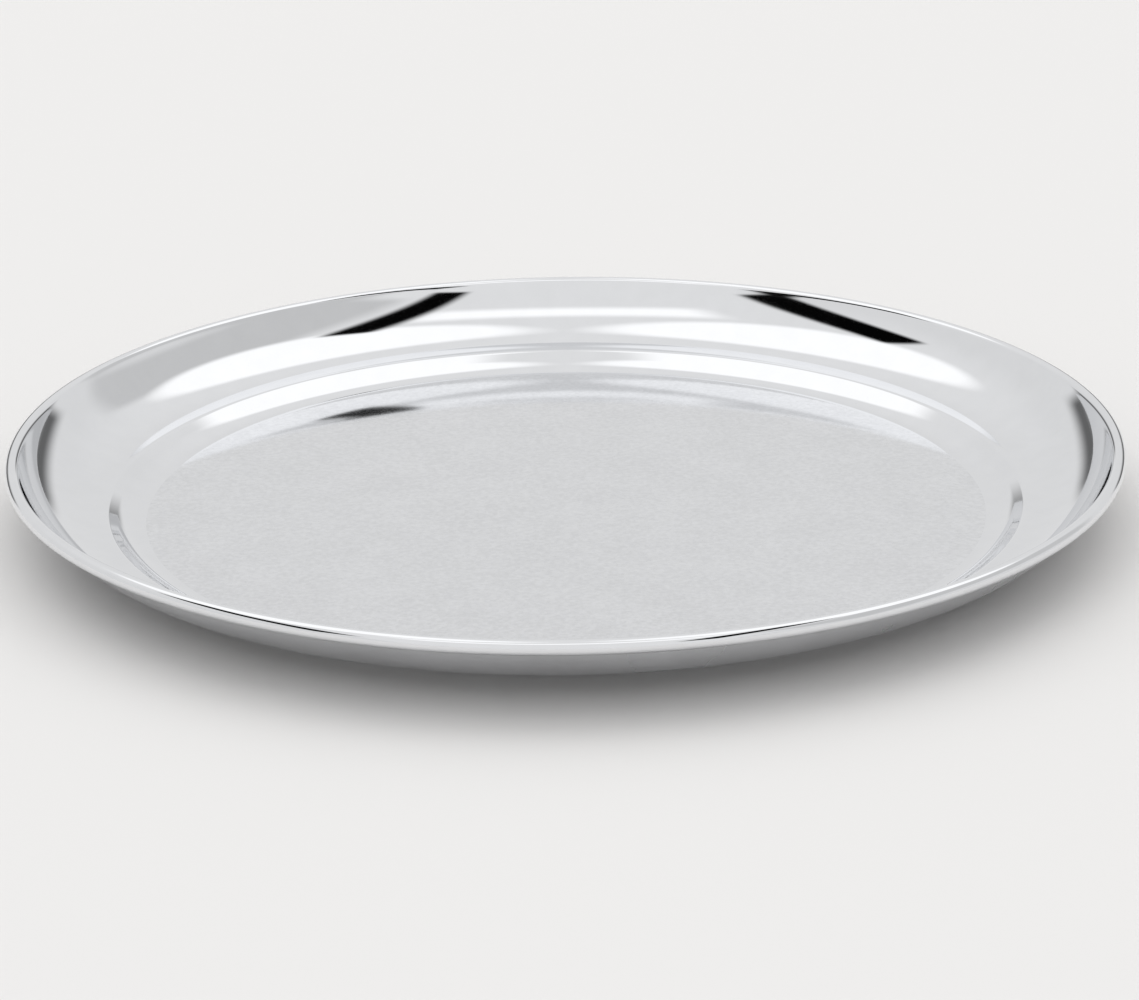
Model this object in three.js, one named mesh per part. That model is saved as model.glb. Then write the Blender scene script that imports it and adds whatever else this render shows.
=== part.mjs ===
// Round serving tray, pressed from one disc of stainless steel sheet.
// The flat floor runs into a soft heel, a short step and a narrow flange, then the rim
// sweeps up in one concave curve and its edge is rolled outwards into an open bead.
// Units are millimetres, +Z is up, and the origin is under the middle of the floor,
// on the surface that the tray stands on.

import * as THREE from "three";

// Driving dimensions
const overallDiameter = 400;
const overallHeight = 28;
const sheet = 0.8;
const beadDiameter = 5;
const beadTurn = THREE.MathUtils.degToRad(290);
const rimCurveRadius = 30;
const flangeWidth = 1;
const stepHeight = 5.9;
const stepSlope = THREE.MathUtils.degToRad(37);
const shoulderRadius = 3;
const heelRadius = 16.5;

// How finely the curves are faceted
const sidesAround = 80;
const beadFacets = 12;
const rimFacets = 9;
const shoulderFacets = 3;
const heelFacets = 4;

// Places that follow from the driving dimensions, on the tray's upper face.
// Radii are measured from the tray's axis and heights from the standing surface.
const beadRadius = beadDiameter / 2;
const beadCentre = new THREE.Vector2(
  overallDiameter / 2 - beadRadius,
  overallHeight - beadRadius,
);
const flangeHeight = sheet + stepHeight;
const rimCentreHeight = flangeHeight + rimCurveRadius;

// The rim curve and the bead bend opposite ways and share a tangent where they meet,
// so their centres are as far apart as their two radii together.
const centreDistance = rimCurveRadius + beadRadius;
const centreDrop = rimCentreHeight - beadCentre.y;
const centreReach = Math.sqrt(centreDistance ** 2 - centreDrop ** 2);
const rimCentre = new THREE.Vector2(beadCentre.x - centreReach, rimCentreHeight);
const rimSlope = Math.atan2(centreReach, centreDrop);

// The step is a convex shoulder, a straight slope and a concave heel.
const shoulderCentre = new THREE.Vector2(
  rimCentre.x - flangeWidth,
  flangeHeight - shoulderRadius,
);
const curvedDrop = (shoulderRadius + heelRadius) * (1 - Math.cos(stepSlope));
const curvedRun = (shoulderRadius + heelRadius) * Math.sin(stepSlope);
const straightRun = (stepHeight - curvedDrop) / Math.tan(stepSlope);
const heelCentre = new THREE.Vector2(
  shoulderCentre.x - curvedRun - straightRun,
  sheet + heelRadius,
);

// Points of an arc about a centre. Angles are turned from straight down, growing
// towards the tray's edge, so an angle on a concave curve is also the sheet's slope there.
function arcFromBottom(centre, radius, fromAngle, toAngle, facets) {
  const points = [];
  for (let i = 0; i <= facets; i += 1) {
    const angle = fromAngle + ((toAngle - fromAngle) * i) / facets;
    points.push(
      new THREE.Vector2(
        centre.x + radius * Math.sin(angle),
        centre.y - radius * Math.cos(angle),
      ),
    );
  }
  return points;
}

// One face of the sheet from the heel to the bead's free edge, at a depth below the
// upper face: 0 is the upper face and the sheet's thickness is the underside.
// Convex curves get tighter with depth, and concave curves get wider.
function faceOutline(depth) {
  return [
    ...arcFromBottom(heelCentre, heelRadius + depth, 0, stepSlope, heelFacets),
    ...arcFromBottom(
      shoulderCentre,
      shoulderRadius - depth,
      Math.PI + stepSlope,
      Math.PI,
      shoulderFacets,
    ),
    ...arcFromBottom(rimCentre, rimCurveRadius + depth, 0, rimSlope, rimFacets),
    ...arcFromBottom(
      beadCentre,
      beadRadius - depth,
      Math.PI + rimSlope,
      Math.PI + rimSlope - beadTurn,
      beadFacets,
    ).slice(1),
  ];
}

// The whole sheet's outline in section, from the axis along the underside to the
// bead's free edge and back along the upper face to the axis.
function sheetSection() {
  return [
    new THREE.Vector2(0, 0),
    ...faceOutline(sheet),
    ...faceOutline(0).reverse(),
    new THREE.Vector2(0, sheet),
  ];
}

// The section is spun about Y, then stood up so that the axis is Z.
function trayShell() {
  const geometry = new THREE.LatheGeometry(sheetSection(), sidesAround);
  geometry.rotateX(Math.PI / 2);
  const material = new THREE.MeshStandardMaterial({
    color: 0xd5d7d8,
    roughness: 0.16,
    metalness: 1,
  });
  const mesh = new THREE.Mesh(geometry, material);
  mesh.name = "tray_shell";
  return mesh;
}

const servingTray = new THREE.Group();
servingTray.add(trayShell());

export default servingTray;
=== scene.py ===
"""Studio scene of a round serving tray, pressed and polished from one stainless steel sheet."""

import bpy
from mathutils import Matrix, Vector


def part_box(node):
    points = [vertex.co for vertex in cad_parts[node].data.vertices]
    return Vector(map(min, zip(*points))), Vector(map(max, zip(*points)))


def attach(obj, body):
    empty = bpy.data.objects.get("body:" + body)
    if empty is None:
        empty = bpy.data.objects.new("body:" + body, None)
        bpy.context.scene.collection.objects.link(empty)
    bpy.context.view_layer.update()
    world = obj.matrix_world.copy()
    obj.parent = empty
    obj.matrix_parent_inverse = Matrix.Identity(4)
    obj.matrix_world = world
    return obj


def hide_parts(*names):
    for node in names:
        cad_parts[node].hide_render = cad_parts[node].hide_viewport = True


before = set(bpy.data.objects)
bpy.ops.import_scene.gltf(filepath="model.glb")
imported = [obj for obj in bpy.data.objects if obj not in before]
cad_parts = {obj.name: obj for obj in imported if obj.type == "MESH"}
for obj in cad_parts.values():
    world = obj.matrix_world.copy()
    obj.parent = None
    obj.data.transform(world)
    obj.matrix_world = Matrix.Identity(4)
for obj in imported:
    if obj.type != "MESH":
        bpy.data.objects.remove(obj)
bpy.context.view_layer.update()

import logging
import math
from dataclasses import dataclass
from enum import Enum, IntEnum

import bpy
from mathutils import Matrix, Vector

LOG = logging.getLogger("serving_tray")
MM = 0.001

Socket = bpy.types.NodeSocket
SocketValue = Socket | float | int | bool | str | tuple | bpy.types.Material


# ---------------------------------------------------------------- small helpers


def linear_colour(hex_code: str) -> tuple[float, float, float, float]:
    """Turns an sRGB hex colour into the linear colour that a shader works in.

    Args:
        hex_code: six hex digits after a hash sign, such as "#C8CBCD".

    Returns:
        Linear red, green and blue, and an alpha of 1.
    """
    channels = [int(hex_code[i : i + 2], 16) / 255 for i in (1, 3, 5)]
    linear = [c / 12.92 if c <= 0.04045 else ((c + 0.055) / 1.055) ** 2.4 for c in channels]
    return (*linear, 1.0)


def add_node(
    tree: bpy.types.NodeTree,
    kind: str,
    settings: dict[str, object] | None = None,
    inputs: dict[str | int, SocketValue] | None = None,
) -> bpy.types.Node:
    """Adds one node with its settings, and fills or links its inputs.

    Args:
        tree: the node tree that takes the node.
        kind: the node's type name.
        settings: properties of the node, set before its inputs.
        inputs: input names or positions, each with a value or with a socket to link from.

    Returns:
        The new node.
    """
    node = tree.nodes.new(kind)
    for name, value in (settings or {}).items():
        setattr(node, name, value)
    for key, value in (inputs or {}).items():
        socket = node.inputs[key]
        if isinstance(value, bpy.types.NodeSocket):
            tree.links.new(value, socket)
        else:
            socket.default_value = value
    return node


# ---------------------------------------------------------------- the sheet's section


class Zone(IntEnum):
    """The stretches of the sheet that are finished differently."""

    FLOOR = 0
    RIM = 1
    UNDERSIDE = 2


@dataclass(frozen=True)
class SectionPoint:
    """One point of the sheet's outline in section, at a radius and a height in metres."""

    radius: float
    height: float
    zone: Zone


@dataclass(frozen=True)
class TraySizes:
    """The tray's driving dimensions, in metres and radians."""

    overall_radius: float
    overall_height: float
    sheet: float = 0.8 * MM
    bead_radius: float = 2.5 * MM
    bead_turn: float = math.radians(290)
    rim_curve_radius: float = 30 * MM
    flange_width: float = 1 * MM
    step_height: float = 5.9 * MM
    step_slope: float = math.radians(37)
    shoulder_radius: float = 3 * MM
    heel_radius: float = 16.5 * MM

    @classmethod
    def from_frame(cls, node: str) -> "TraySizes":
        """Takes the overall sizes from the CAD node that the tray stands for.

        Args:
            node: the CAD node's name.

        Returns:
            The sizes, with the sheet's own curves at their drawn values.
        """
        low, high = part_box(node)
        return cls(overall_radius=(high.y - low.y) / 2, overall_height=high.z - low.z)


@dataclass(frozen=True)
class Arc:
    """An arc of the section, with angles turned from straight down towards the tray's edge."""

    centre_radius: float
    centre_height: float
    size: float
    start: float
    end: float
    steps: int

    def points(self, depth: float, zone: Zone) -> list[SectionPoint]:
        """Gives the arc's points at a depth below the sheet's upper face.

        Args:
            depth: added to the arc's size, so it is negative where the sheet is convex.
            zone: the finish of this stretch.

        Returns:
            The points in order, both ends included.
        """
        found = []
        for i in range(self.steps + 1):
            angle = self.start + (self.end - self.start) * i / self.steps
            radius = self.centre_radius + (self.size + depth) * math.sin(angle)
            height = self.centre_height - (self.size + depth) * math.cos(angle)
            found.append(SectionPoint(radius, height, zone))
        return found


@dataclass(frozen=True)
class SheetSection:
    """The sheet in section: floor, heel, step, shoulder, flange, rim curve and rolled bead."""

    sizes: TraySizes
    heel_steps: int = 22
    shoulder_steps: int = 12
    rim_steps: int = 44
    bead_steps: int = 36
    edge_steps: int = 4
    floor_rings: int = 6
    floor_crowding: float = 0.25

    def curves(self) -> tuple[Arc, Arc, Arc, Arc]:
        """Works out the four arcs of the sheet's upper face, from the floor outwards.

        Returns:
            The heel, the shoulder, the rim curve and the bead.
        """
        s = self.sizes
        bead_centre = (s.overall_radius - s.bead_radius, s.overall_height - s.bead_radius)
        flange_height = s.sheet + s.step_height
        rim_centre_height = flange_height + s.rim_curve_radius
        drop = rim_centre_height - bead_centre[1]
        reach = math.sqrt((s.rim_curve_radius + s.bead_radius) ** 2 - drop**2)
        rim_centre_radius = bead_centre[0] - reach
        rim_slope = math.atan2(reach, drop)
        curved = s.shoulder_radius + s.heel_radius
        straight_drop = s.step_height - curved * (1 - math.cos(s.step_slope))
        straight_run = straight_drop / math.tan(s.step_slope)
        shoulder_radius = rim_centre_radius - s.flange_width
        heel_radius = shoulder_radius - curved * math.sin(s.step_slope) - straight_run
        top = math.pi
        return (
            Arc(heel_radius, s.sheet + s.heel_radius, s.heel_radius, 0, s.step_slope, self.heel_steps),
            Arc(
                shoulder_radius,
                flange_height - s.shoulder_radius,
                s.shoulder_radius,
                top + s.step_slope,
                top,
                self.shoulder_steps,
            ),
            Arc(rim_centre_radius, rim_centre_height, s.rim_curve_radius, 0, rim_slope, self.rim_steps),
            Arc(
                *bead_centre,
                s.bead_radius,
                top + rim_slope,
                top + rim_slope - s.bead_turn,
                self.bead_steps,
            ),
        )

    def face(self, depth: float, floor_zone: Zone, rim_zone: Zone) -> list[SectionPoint]:
        """Gives one face of the sheet, from the axis to the bead's free edge.

        Args:
            depth: 0 for the upper face, the sheet's thickness for the underside.
            floor_zone: the finish of the flat floor.
            rim_zone: the finish of everything outside it.

        Returns:
            The points in order.
        """
        heel, shoulder, rim, bead = self.curves()
        height = self.sizes.sheet - depth
        flat = [
            SectionPoint(heel.centre_radius * (1 - self.floor_crowding**i), height, floor_zone)
            for i in range(self.floor_rings)
        ]
        return (
            flat
            + heel.points(depth, rim_zone)
            + shoulder.points(-depth, rim_zone)
            + rim.points(depth, rim_zone)
            + bead.points(-depth, rim_zone)[1:]
        )

    def free_edge(self) -> list[SectionPoint]:
        """Rounds the bead's free edge, from the underside's end to the upper face's end.

        Returns:
            The points between those two ends, both left out.
        """
        bead = self.curves()[3]
        half = self.sizes.sheet / 2
        middle = bead.size - half
        found = []
        for i in range(1, self.edge_steps):
            turn = math.pi * i / self.edge_steps
            out = middle - half * math.cos(turn)
            along = half * math.sin(turn)
            radius = bead.centre_radius + out * math.sin(bead.end) - along * math.cos(bead.end)
            height = bead.centre_height - out * math.cos(bead.end) - along * math.sin(bead.end)
            found.append(SectionPoint(radius, height, Zone.UNDERSIDE))
        return found

    def outline(self) -> list[SectionPoint]:
        """Gives the whole outline, from the axis along the underside and back on the upper face.

        Returns:
            The points in order, with both ends on the axis.
        """
        under = self.face(self.sizes.sheet, Zone.UNDERSIDE, Zone.UNDERSIDE)
        upper = self.face(0.0, Zone.FLOOR, Zone.RIM)
        return under + self.free_edge() + upper[::-1]


# ---------------------------------------------------------------- finishes


# Polished stainless steel: a light grey with hardly any colour of its own.
STEEL = "#E7E8EA"
# Where the length of a polishing ring is measured.
RIM_RADIUS = 200 * MM
# A noise seldom leaves this range, so the patterns stretch it over their own.
WEAK_NOISE = 0.3
STRONG_NOISE = 0.7


class Coordinates(Enum):
    """Where a pattern on the sheet is read from."""

    OBJECT = "Object"
    SHEET = "sheet"


class Texture:
    """Patterns that the finishes share, all measured in real millimetres."""

    def __init__(self, tree: bpy.types.NodeTree) -> None:
        """Gets the coordinates that the patterns are read at.

        Args:
            tree: the material's node tree.
        """
        self.tree = tree
        self.place = add_node(tree, "ShaderNodeTexCoord").outputs[Coordinates.OBJECT.value]
        sheet = add_node(tree, "ShaderNodeUVMap", {"uv_map": Coordinates.SHEET.value})
        self.sheet = sheet.outputs["UV"]

    def mottle(self, size: float, detail: float = 2.0, at: Socket | None = None) -> Socket:
        """Gives cloudy patches, as etching and handling leave.

        Args:
            size: how large one patch is, in millimetres.
            detail: how many finer patches lie on top.
            at: where the pattern is read, which is the piece's own place if nothing is given.

        Returns:
            The pattern, from 0 to 1.
        """
        inputs = {"Vector": at or self.place, "Scale": 1 / (size * MM), "Detail": detail}
        return add_node(self.tree, "ShaderNodeTexNoise", inputs=inputs).outputs["Fac"]

    def hairlines(self, width: float, stretch: float, turn: float) -> Socket:
        """Gives straight fine lines, as rolling and wiping leave.

        Args:
            width: how wide one line is, in millimetres.
            stretch: how many times longer than wide a line is.
            turn: the lines' direction, in degrees from X.

        Returns:
            The pattern, from 0 to 1.
        """
        laid = add_node(
            self.tree,
            "ShaderNodeMapping",
            inputs={
                "Vector": self.place,
                "Rotation": (0.0, 0.0, math.radians(turn)),
                "Scale": (1 / stretch, 1.0, 1.0),
            },
        )
        return self.mottle(width, at=laid.outputs["Vector"])

    def spun_lines(self, width: float, length: float) -> Socket:
        """Gives fine rings around the tray's axis, as polishing on a lathe leaves.

        Args:
            width: how wide one ring is, in millimetres.
            length: how far a ring runs before it fades, in millimetres at the rim.

        Returns:
            The pattern, from 0 to 1.
        """
        tree, kind = self.tree, "ShaderNodeVectorMath"
        flat = add_node(tree, kind, {"operation": "MULTIPLY"}, {0: self.place, 1: (1.0, 1.0, 0.0)})
        outwards = add_node(tree, kind, {"operation": "NORMALIZE"}, {0: flat.outputs["Vector"]})
        around = add_node(
            tree,
            kind,
            {"operation": "SCALE"},
            {0: outwards.outputs["Vector"], "Scale": RIM_RADIUS * width / length},
        )
        station = add_node(tree, "ShaderNodeSeparateXYZ", inputs={0: self.sheet}).outputs["Y"]
        across = add_node(tree, "ShaderNodeCombineXYZ", inputs={"Z": station})
        laid = add_node(
            tree,
            kind,
            {"operation": "ADD"},
            {0: around.outputs["Vector"], 1: across.outputs["Vector"]},
        )
        return self.mottle(width, at=laid.outputs["Vector"])

    def ranged(self, pattern: Socket, low: SocketValue, high: SocketValue) -> Socket:
        """Stretches the middle of a noise over a range of values.

        Args:
            pattern: a noise from 0 to 1.
            low: the value where the noise is weak.
            high: the value where the noise is strong.

        Returns:
            The stretched pattern.
        """
        inputs = {"Value": pattern, 1: WEAK_NOISE, 2: STRONG_NOISE, 3: low, 4: high}
        return add_node(self.tree, "ShaderNodeMapRange", inputs=inputs).outputs["Result"]

    def tint(self, colour: str, pattern: Socket, low: float) -> Socket:
        """Darkens a colour a little where a pattern is weak.

        Args:
            colour: the colour where the pattern is strong, as sRGB hex.
            pattern: a noise from 0 to 1.
            low: how much of the colour is left where the pattern is weak.

        Returns:
            The colour's socket.
        """
        inputs = {0: linear_colour(colour)[:3], "Scale": self.ranged(pattern, low, 1.0)}
        settings = {"operation": "SCALE"}
        return add_node(self.tree, "ShaderNodeVectorMath", settings, inputs).outputs["Vector"]

    def relief(self, pattern: Socket, height: float, below: Socket | None = None) -> Socket:
        """Raises and sinks the surface by a pattern.

        Args:
            pattern: a noise from 0 to 1.
            height: from the lowest to the highest place, in millimetres.
            below: the normal that the relief lies on.

        Returns:
            The normal's socket.
        """
        inputs = {"Strength": 1.0, "Distance": height * MM, "Height": pattern}
        inputs |= {"Normal": below} if below else {}
        return add_node(self.tree, "ShaderNodeBump", inputs=inputs).outputs["Normal"]


@dataclass(frozen=True)
class SteelFinish:
    """Common ground of the tray's finishes, which are all one sheet of 18/10 stainless steel.

    Buffed stainless mirrors most of the light, with hardly any colour of its own, so the base
    colour is a light neutral grey and the shape shows only by what it mirrors.
    """

    name: str
    colour: str = STEEL

    def patterns(self, texture: Texture) -> dict[str, Socket]:
        """Draws the finish.

        Args:
            texture: the patterns to draw with.

        Returns:
            A socket for each input of the shader that the finish sets.
        """
        raise NotImplementedError

    def material(self) -> bpy.types.Material:
        """Builds the finish as a material.

        Returns:
            The material, with its patterns wired to the shader.
        """
        made = bpy.data.materials.new(self.name)
        made.use_nodes = True
        tree = made.node_tree
        tree.nodes.clear()
        inputs = {"Metallic": 1.0} | self.patterns(Texture(tree))
        shader = add_node(tree, "ShaderNodeBsdfPrincipled", inputs=inputs)
        add_node(tree, "ShaderNodeOutputMaterial", inputs={"Surface": shader.outputs["BSDF"]})
        return made


@dataclass(frozen=True)
class MirrorPolish(SteelFinish):
    """Buffed on a lathe: reflections stay sharp, a little wavy, with faint rings and wipe marks.

    Real buffing rings are much finer. They are drawn wider, so that they can show.
    """

    ring_width: float = 0.35
    ring_length: float = 60.0
    ring_height: float = 0.00003
    wave_length: float = 38.0
    wave_height: float = 0.030
    wipe_size: float = 9.0
    wipe_detail: float = 4.0
    wipe_tint: float = 0.975
    sharpest: float = 0.025
    softest: tuple[float, float] = (0.045, 0.075)

    def patterns(self, texture: Texture) -> dict[str, Socket]:
        """Draws the rings, the wipe marks and the slow waves of the pressed sheet.

        Args:
            texture: the patterns to draw with.

        Returns:
            A socket for each input of the shader that the finish sets.
        """
        rings = texture.spun_lines(self.ring_width, self.ring_length)
        wiped = texture.mottle(self.wipe_size, self.wipe_detail)
        waves = texture.relief(texture.mottle(self.wave_length, 0.0), self.wave_height)
        return {
            "Base Color": texture.tint(self.colour, wiped, self.wipe_tint),
            "Roughness": texture.ranged(rings, self.sharpest, texture.ranged(wiped, *self.softest)),
            "Normal": texture.relief(rings, self.ring_height, waves),
        }


@dataclass(frozen=True)
class SatinGrain(SteelFinish):
    """Rolled bright and lightly etched: nearly a mirror, but clouded by a very fine grain.

    The real grain is much finer. It is drawn coarser, so that it can show, and so are the lines
    that wiping and use leave.
    """

    grain_size: float = 1.7
    grain_height: float = 0.00008
    cloud_size: float = 26.0
    cloud_share: float = 0.4
    detail: float = 3.0
    tint: float = 0.89
    roughness: tuple[float, float] = (0.03, 0.055)
    mark_roughness: float = 0.075
    wipe_width: float = 0.5
    wipe_stretch: float = 90.0
    wipe_turn: float = 24.0
    scratch_width: float = 0.6
    scratch_stretch: float = 60.0
    scratch_turn: float = -38.0

    def patterns(self, texture: Texture) -> dict[str, Socket]:
        """Draws the grain, soft clouds in it and the fine lines that use leaves on a tray.

        Args:
            texture: the patterns to draw with.

        Returns:
            A socket for each input of the shader that the finish sets.
        """
        tree, kind = texture.tree, "ShaderNodeMath"
        grain = texture.mottle(self.grain_size, self.detail)
        clouds = texture.mottle(self.cloud_size, self.detail)
        wiped = texture.hairlines(self.wipe_width, self.wipe_stretch, self.wipe_turn)
        used = texture.hairlines(self.scratch_width, self.scratch_stretch, self.scratch_turn)
        centred = add_node(
            tree,
            kind,
            {"operation": "MULTIPLY_ADD"},
            {0: clouds, 1: self.cloud_share, 2: -self.cloud_share / 2},
        ).outputs["Value"]
        shade = add_node(tree, kind, {"operation": "ADD"}, {0: grain, 1: centred}).outputs["Value"]
        marks = add_node(tree, kind, {"operation": "MAXIMUM"}, {0: wiped, 1: used}).outputs["Value"]
        unmarked = texture.ranged(clouds, *self.roughness)
        return {
            "Base Color": texture.tint(self.colour, shade, self.tint),
            "Roughness": texture.ranged(marks, unmarked, self.mark_roughness),
            "Normal": texture.relief(grain, self.grain_height),
        }


@dataclass(frozen=True)
class ColdRolled(SteelFinish):
    """Left as pressed and brushed on the lathe: a soft shine drawn out across the rings.

    The brushing is drawn coarser than the real one, so that it can show.
    """

    colour: str = "#D6D7D9"
    ring_width: float = 0.5
    ring_length: float = 90.0
    ring_height: float = 0.0012
    patch_size: float = 34.0
    patch_detail: float = 4.0
    patch_tint: float = 0.92
    roughness: tuple[float, float] = (0.16, 0.22)
    ring_roughness: float = 0.32

    def patterns(self, texture: Texture) -> dict[str, Socket]:
        """Draws the brushing rings and the duller patches between them.

        Args:
            texture: the patterns to draw with.

        Returns:
            A socket for each input of the shader that the finish sets.
        """
        rings = texture.spun_lines(self.ring_width, self.ring_length)
        patches = texture.mottle(self.patch_size, self.patch_detail)
        between = texture.ranged(patches, *self.roughness)
        return {
            "Base Color": texture.tint(self.colour, patches, self.patch_tint),
            "Roughness": texture.ranged(rings, between, self.ring_roughness),
            "Normal": texture.relief(rings, self.ring_height),
        }


# ---------------------------------------------------------------- the tray


@dataclass(frozen=True)
class Tray:
    """The pressed tray, spun from its section by a Geometry Nodes tree."""

    node: str
    body: str
    slot: str
    sizes: TraySizes
    sides: int = 320
    merge_distance: float = 0.001 * MM
    zone_overlap: float = 0.75

    def section_mesh(self) -> bpy.types.Mesh:
        """Draws the sheet's section as a chain of points in the XZ plane.

        Returns:
            A mesh whose points carry their zone and their distance along the outline.
        """
        points = SheetSection(self.sizes).outline()
        mesh = bpy.data.meshes.new("sheet_section")
        mesh.from_pydata(
            [(p.radius, 0.0, p.height) for p in points],
            [(i, i + 1) for i in range(len(points) - 1)],
            [],
        )
        stations = [0.0]
        for a, b in zip(points, points[1:]):
            stations.append(stations[-1] + math.hypot(b.radius - a.radius, b.height - a.height))
        mesh.attributes.new("station", "FLOAT", "POINT").data.foreach_set("value", stations)
        zones = [int(p.zone) for p in points]
        mesh.attributes.new("zone", "INT", "POINT").data.foreach_set("value", zones)
        return mesh

    def spin_tree(self) -> bpy.types.GeometryNodeTree:
        """Builds the tree that spins a section about Z and finishes each zone of it.

        Returns:
            The tree, whose inputs are the number of sides, the merging distance and the finishes.
        """
        tree = bpy.data.node_groups.new("spin_section", "GeometryNodeTree")
        face = tree.interface
        face.new_socket("Section", in_out="INPUT", socket_type="NodeSocketGeometry")
        face.new_socket("Sides", in_out="INPUT", socket_type="NodeSocketInt")
        face.new_socket("Merge Distance", in_out="INPUT", socket_type="NodeSocketFloat")
        for zone in Zone:
            face.new_socket(zone.name.title(), in_out="INPUT", socket_type="NodeSocketMaterial")
        face.new_socket("Tray", in_out="OUTPUT", socket_type="NodeSocketGeometry")
        given = add_node(tree, "NodeGroupInput").outputs
        section = given["Section"]

        count = add_node(tree, "GeometryNodeAttributeDomainSize", inputs={"Geometry": section})
        columns = add_node(
            tree, "FunctionNodeIntegerMath", {"operation": "ADD"}, {0: given["Sides"], 1: 1}
        ).outputs["Value"]
        grid = add_node(
            tree,
            "GeometryNodeMeshGrid",
            inputs={"Vertices X": count.outputs["Point Count"], "Vertices Y": columns},
        )
        index = add_node(tree, "GeometryNodeInputIndex").outputs["Index"]
        row, column = (
            add_node(
                tree, "FunctionNodeIntegerMath", {"operation": operation}, {0: index, 1: columns}
            ).outputs["Value"]
            for operation in ("DIVIDE_FLOOR", "MODULO")
        )
        turn = add_node(
            tree, "ShaderNodeMath", {"operation": "DIVIDE"}, {0: column, 1: given["Sides"]}
        ).outputs["Value"]
        angle = add_node(
            tree, "ShaderNodeMath", {"operation": "MULTIPLY"}, {0: turn, 1: math.tau}
        ).outputs["Value"]

        def from_section(data_type: str, value: Socket) -> Socket:
            """Reads a value of the section's point that this vertex is spun from.

            Args:
                data_type: the value's type.
                value: the value, as the section has it.

            Returns:
                The value at that point.
            """
            settings = {"data_type": data_type, "domain": "POINT"}
            inputs = {"Geometry": section, "Value": value, "Index": row}
            return add_node(tree, "GeometryNodeSampleIndex", settings, inputs).outputs["Value"]

        def named(name: str, data_type: str) -> Socket:
            """Gives a named attribute of whatever geometry reads it.

            Args:
                name: the attribute's name.
                data_type: the attribute's type.

            Returns:
                The attribute's socket.
            """
            settings = {"data_type": data_type}
            return add_node(
                tree, "GeometryNodeInputNamedAttribute", settings, {"Name": name}
            ).outputs["Attribute"]

        here = add_node(tree, "GeometryNodeInputPosition").outputs["Position"]
        place = add_node(
            tree,
            "ShaderNodeVectorRotate",
            {"rotation_type": "Z_AXIS"},
            {"Vector": from_section("FLOAT_VECTOR", here), "Angle": angle},
        )
        sheet_uv = add_node(
            tree,
            "ShaderNodeCombineXYZ",
            inputs={"X": turn, "Y": from_section("FLOAT", named("station", "FLOAT"))},
        )
        with_uv = add_node(
            tree,
            "GeometryNodeStoreNamedAttribute",
            {"data_type": "FLOAT2", "domain": "CORNER"},
            {
                "Geometry": grid.outputs["Mesh"],
                "Name": Coordinates.SHEET.value,
                "Value": sheet_uv.outputs["Vector"],
            },
        )
        with_zone = add_node(
            tree,
            "GeometryNodeStoreNamedAttribute",
            {"data_type": "FLOAT", "domain": "POINT"},
            {
                "Geometry": with_uv.outputs["Geometry"],
                "Name": "zone",
                "Value": from_section("FLOAT", named("zone", "INT")),
            },
        )
        spun = add_node(
            tree,
            "GeometryNodeSetPosition",
            inputs={"Geometry": with_zone.outputs["Geometry"], "Position": place.outputs["Vector"]},
        )
        closed = add_node(
            tree,
            "GeometryNodeMergeByDistance",
            inputs={"Geometry": spun.outputs["Geometry"], "Distance": given["Merge Distance"]},
        )
        smooth = add_node(
            tree, "GeometryNodeSetShadeSmooth", inputs={"Geometry": closed.outputs["Geometry"]}
        )
        shape = add_node(
            tree, "GeometryNodeRealizeInstances", inputs={"Geometry": smooth.outputs["Geometry"]}
        ).outputs["Geometry"]
        zone_here = named("zone", "FLOAT")
        for zone in Zone:
            # A face between two zones has the mean of its corners, and belongs to the later zone.
            within = add_node(
                tree,
                "ShaderNodeMath",
                {"operation": "GREATER_THAN"},
                {0: zone_here, 1: zone - self.zone_overlap},
            ).outputs["Value"]
            shape = add_node(
                tree,
                "GeometryNodeSetMaterial",
                inputs={"Geometry": shape, "Selection": within, "Material": given[zone.name.title()]},
            ).outputs["Geometry"]
        add_node(tree, "NodeGroupOutput", inputs={"Tray": shape})
        return tree

    def build(self, finishes: dict[Zone, bpy.types.Material]) -> bpy.types.Object:
        """Spins the tray, turns it into a plain mesh and hangs it on the frame.

        Args:
            finishes: a material for each zone of the sheet.

        Returns:
            The finished piece.
        """
        maker = bpy.data.objects.new("tray_maker", self.section_mesh())
        bpy.context.scene.collection.objects.link(maker)
        spin = maker.modifiers.new("spin", "NODES")
        spin.node_group = self.spin_tree()
        values = {"Sides": self.sides, "Merge Distance": self.merge_distance}
        values |= {zone.name.title(): material for zone, material in finishes.items()}
        for item in spin.node_group.interface.items_tree:
            if item.in_out == "INPUT" and item.name in values:
                spin[item.identifier] = values[item.name]
        evaluated = maker.evaluated_get(bpy.context.evaluated_depsgraph_get())
        mesh = bpy.data.meshes.new_from_object(evaluated)
        mesh.name = "pressed_tray"
        bpy.data.objects.remove(maker)
        piece = bpy.data.objects.new("pressed_tray", mesh)
        bpy.context.scene.collection.objects.link(piece)
        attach(piece, self.body)
        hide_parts(self.node)
        return piece


# ---------------------------------------------------------------- the studio


class CardShape(Enum):
    """The outline of a card of the light tent."""

    BOARD = "board"
    DISC = "disc"


BOARD, DISC = CardShape


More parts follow.
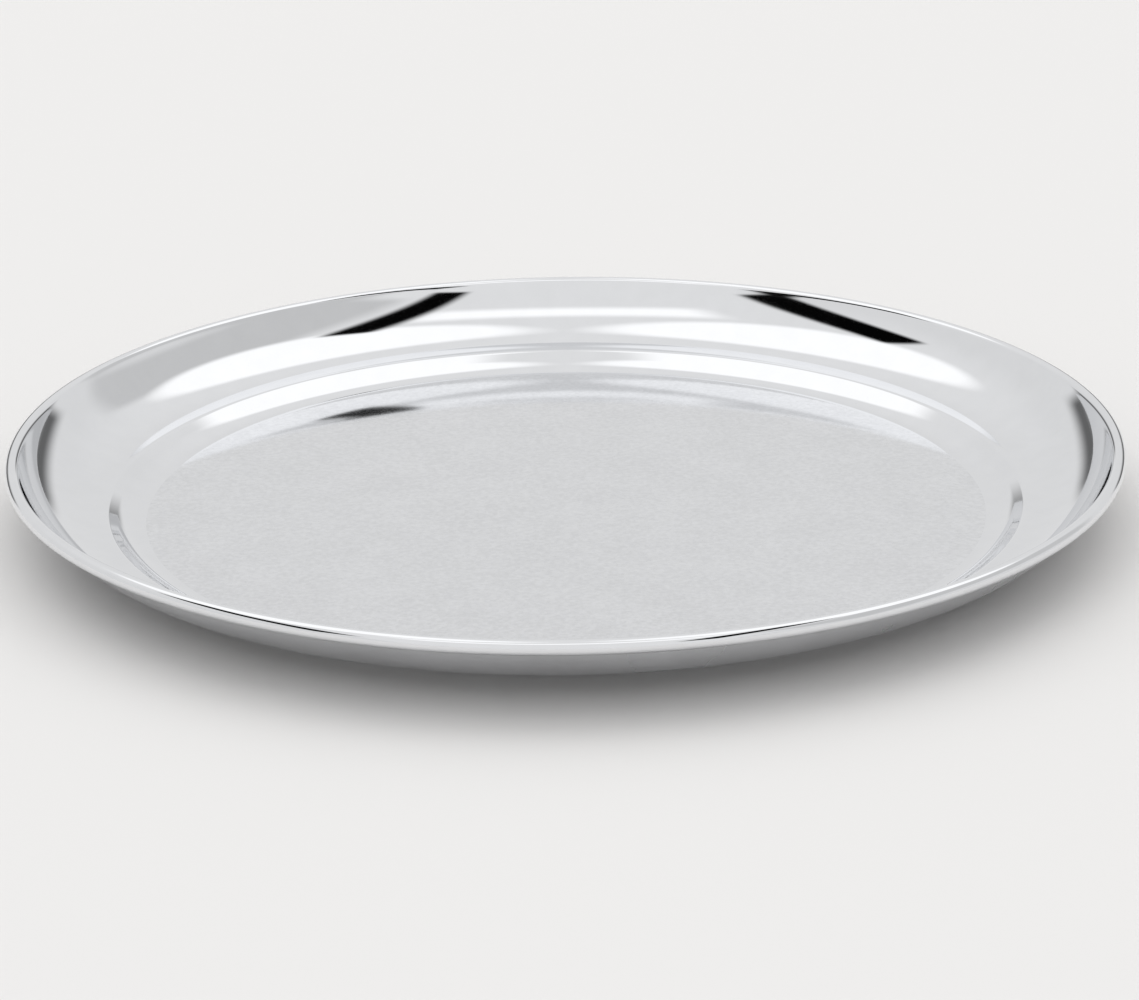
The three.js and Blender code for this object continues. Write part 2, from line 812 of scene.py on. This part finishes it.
@dataclass(frozen=True)
class Card:
    """A soft-edged card or lamp of the light tent, as it lies on a flat map of the sky.

    On the map the zenith is at 0, 0 and the horizon is a circle of radius 1. X grows to the
    right and Y grows away from the camera. The turn is in degrees, soft is how far the edge
    fades to either side, and grey is the card's own colour, as sRGB hex.
    """

    name: str
    shape: CardShape
    middle: tuple[float, float]
    size: tuple[float, float]
    turn: float
    soft: float
    grey: str

    def over(self, tree: bpy.types.NodeTree, sky: Socket, behind: Socket | float) -> Socket:
        """Hangs the card in front of whatever light is behind it.

        Args:
            tree: the world's node tree.
            sky: the place on the sky map that is being looked at.
            behind: the light there without the card.

        Returns:
            The light with the card in place.
        """
        half = (self.size[0] / 2, self.size[1] / 2)
        on_card = add_node(
            tree,
            "ShaderNodeMapping",
            {"vector_type": "TEXTURE", "label": self.name},
            {
                "Vector": sky,
                "Location": (*self.middle, 0.0),
                "Rotation": (0.0, 0.0, math.radians(self.turn)),
                "Scale": (*half, 1.0),
            },
        ).outputs["Vector"]
        if self.shape is CardShape.DISC:
            settings = {"operation": "LENGTH"}
            out = add_node(tree, "ShaderNodeVectorMath", settings, {0: on_card}).outputs["Value"]
            mask = self.faded(tree, out, min(half))
        else:
            settings = {"operation": "ABSOLUTE"}
            out = add_node(tree, "ShaderNodeVectorMath", settings, {0: on_card}).outputs["Vector"]
            sides = add_node(tree, "ShaderNodeSeparateXYZ", inputs={0: out}).outputs
            masks = [self.faded(tree, sides[axis], length) for axis, length in zip("XY", half)]
            both = dict(enumerate(masks))
            mask = add_node(tree, "ShaderNodeMath", {"operation": "MULTIPLY"}, both).outputs["Value"]
        inputs = {0: mask, 2: behind, 3: linear_colour(self.grey)[1]}
        return add_node(tree, "ShaderNodeMix", {"data_type": "FLOAT"}, inputs).outputs[0]

    def faded(self, tree: bpy.types.NodeTree, out: Socket, length: float) -> Socket:
        """Fades the card at its edge.

        Args:
            tree: the world's node tree.
            out: the distance from the card's middle, where 1 is its edge.
            length: half the card's size in that direction.

        Returns:
            1 on the card and 0 outside it.
        """
        ramp = {"Value": out, 1: 1 + self.soft / length, 2: 1 - self.soft / length}
        settings = {"interpolation_type": "SMOOTHSTEP"}
        return add_node(tree, "ShaderNodeMapRange", settings, ramp).outputs["Result"]


@dataclass(frozen=True)
class Studio:
    """Camera, pale floor and light tent around the tray, in metres and degrees."""

    centre: Vector
    camera_distance: float = 1.2614
    camera_elevation: float = 19.0
    camera_roll: float = -0.77
    aim: Vector = Vector((0.0013, -0.0072, -0.0210))
    lens: float = 110.6
    sensor: float = 36.0
    key_height: float = 84.0
    key_distance: float = 3.0
    key_size: float = 9.0
    key_power: float = 60.0
    floor_reach: float = 6.0
    floor_drop: float = 0.2 * MM
    paper_colour: str = "#E6E5E4"
    tent_grey: str = "#D4D4D4"
    tent_strength: float = 1.25
    cards: tuple[Card, ...] = (
        Card("top of the tent", DISC, (0.0, 0.0), (1.3, 1.3), 0.0, 0.15, "#DCDCDC"),
        Card("camera side", BOARD, (0.0, -0.6), (1.0, 1.1), 0.0, 0.05, "#DCDCDC"),
        Card("right wall", BOARD, (0.6, 0.0), (0.4, 1.0), 0.0, 0.05, "#C0C0C0"),
        Card("left lamp", DISC, (-0.25, 0.2), (0.45, 0.5), 0.0, 0.03, "#FFFFFF"),
        Card("right lamp", DISC, (0.25, 0.2), (0.45, 0.5), 0.0, 0.03, "#FFFFFF"),
        Card("lamp over the camera", BOARD, (0.0, -0.2), (0.5, 0.15), 0.0, 0.05, "#FFFFFF"),
        Card("gap low behind, left", BOARD, (-0.4, 0.85), (0.5, 0.12), 25.0, 0.05, "#606060"),
        Card("gap low behind, right", BOARD, (0.4, 0.85), (0.5, 0.12), -25.0, 0.05, "#606060"),
        Card("left flag", BOARD, (-0.53, -0.2), (0.15, 0.6), 0.0, 0.02, "#040404"),
        Card("right flag", BOARD, (0.3, -0.3), (0.1, 0.6), 0.0, 0.02, "#040404"),
    )

    def camera(self) -> None:
        """Sets the camera up as the scene's own."""
        data = bpy.data.cameras.new("camera")
        data.lens = self.lens
        data.sensor_width = self.sensor
        data.dof.use_dof = False
        camera = bpy.data.objects.new("camera", data)
        elevation = math.radians(self.camera_elevation)
        offset = Vector((0, -math.cos(elevation), math.sin(elevation))) * self.camera_distance
        place = self.centre + offset
        looking = self.centre + self.aim - place
        turn = looking.to_track_quat("-Z", "Y").to_matrix()
        roll = Matrix.Rotation(math.radians(self.camera_roll), 3, "Z")
        camera.matrix_world = Matrix.Translation(place) @ (turn @ roll).to_4x4()
        bpy.context.scene.collection.objects.link(camera)
        bpy.context.scene.camera = camera

    def floor(self) -> None:
        """Lays the pale floor that the tray stands on."""
        mesh = bpy.data.meshes.new("studio_floor")
        turns = [(-1, -1), (1, -1), (1, 1), (-1, 1)]
        corners = [(x * self.floor_reach, y * self.floor_reach, -self.floor_drop) for x, y in turns]
        mesh.from_pydata(corners, [], [(0, 1, 2, 3)])
        mesh.materials.append(self.paper())
        floor = bpy.data.objects.new("studio_floor", mesh)
        bpy.context.scene.collection.objects.link(floor)

    def paper(self) -> bpy.types.Material:
        """Makes the floor's paper: plain, matt and almost white.

        Returns:
            The paper.
        """
        paper = bpy.data.materials.new("white_paper_sweep")
        paper.use_nodes = True
        tree = paper.node_tree
        tree.nodes.clear()
        matt = add_node(tree, "ShaderNodeBsdfDiffuse", inputs={"Color": linear_colour(self.paper_colour)})
        add_node(tree, "ShaderNodeOutputMaterial", inputs={"Surface": matt.outputs["BSDF"]})
        return paper

    def key(self) -> None:
        """Hangs a large soft light almost straight above the tray, which the steel doesn't mirror."""
        data = bpy.data.lights.new("key_softbox", "AREA")
        data.shape = "DISK"
        data.size = self.key_size
        data.energy = self.key_power
        key = bpy.data.objects.new("key_softbox", data)
        height = math.radians(self.key_height)
        way = Vector((0.0, math.cos(height), math.sin(height)))
        facing = way.to_track_quat("Z", "Y").to_matrix().to_4x4()
        key.matrix_world = Matrix.Translation(way * self.key_distance) @ facing
        key.visible_glossy = False
        key.visible_camera = False
        bpy.context.scene.collection.objects.link(key)

    def sky_map(self, tree: bpy.types.NodeTree) -> Socket:
        """Turns the direction that is looked in into a place on the flat map of the sky.

        Args:
            tree: the world's node tree.

        Returns:
            The place, with the horizon at a distance of 1 from the zenith.
        """
        way = add_node(tree, "ShaderNodeTexCoord").outputs["Generated"]
        part = add_node(tree, "ShaderNodeSeparateXYZ", inputs={0: way}).outputs
        angle = add_node(tree, "ShaderNodeMath", {"operation": "ARCCOSINE"}, {0: part["Z"]})
        from_zenith = add_node(
            tree,
            "ShaderNodeMath",
            {"operation": "DIVIDE"},
            {0: angle.outputs["Value"], 1: math.pi / 2},
        ).outputs["Value"]
        flat = add_node(tree, "ShaderNodeCombineXYZ", inputs={"X": part["X"], "Y": part["Y"]})
        unit = add_node(
            tree, "ShaderNodeVectorMath", {"operation": "NORMALIZE"}, {0: flat.outputs["Vector"]}
        )
        return add_node(
            tree,
            "ShaderNodeVectorMath",
            {"operation": "SCALE"},
            {0: unit.outputs["Vector"], "Scale": from_zenith},
        ).outputs["Vector"]

    def light(self) -> None:
        """Wraps the set in a pale light tent with a few broad lamps and flags."""
        world = bpy.data.worlds.new("light_tent")
        bpy.context.scene.world = world
        world.use_nodes = True
        tree = world.node_tree
        tree.nodes.clear()
        sky = self.sky_map(tree)
        tent = linear_colour(self.tent_grey)[1]
        for card in self.cards:
            tent = card.over(tree, sky, tent)
        inputs = {"Color": tent, "Strength": self.tent_strength}
        shown = add_node(tree, "ShaderNodeBackground", inputs=inputs)
        add_node(tree, "ShaderNodeOutputWorld", inputs={"Surface": shown.outputs["Background"]})


# ---------------------------------------------------------------- the whole scene


def main() -> None:
    """Builds the studio and the tray in order."""
    logging.basicConfig(level=logging.INFO, format="%(name)s: %(message)s")
    bpy.context.scene.view_settings.view_transform = "Standard"

    sizes = TraySizes.from_frame("tray_shell")
    studio = Studio(centre=Vector((0, 0, sizes.overall_height - sizes.bead_radius)))
    studio.camera()
    studio.floor()
    studio.light()
    studio.key()

    finishes = {
        Zone.FLOOR: SatinGrain("satin_stainless_steel").material(),
        Zone.RIM: MirrorPolish("mirror_polished_stainless_steel").material(),
        Zone.UNDERSIDE: ColdRolled("cold_rolled_stainless_steel").material(),
    }
    tray = Tray("tray_shell", "root", "polished_steel", sizes).build(finishes)
    triangles = sum(len(face.vertices) - 2 for face in tray.data.polygons)
    LOG.info("%s: %d triangles on body %s", tray.name, triangles, "root")

    bpy.context.view_layer.update()


if __name__ == "__main__":
    main()
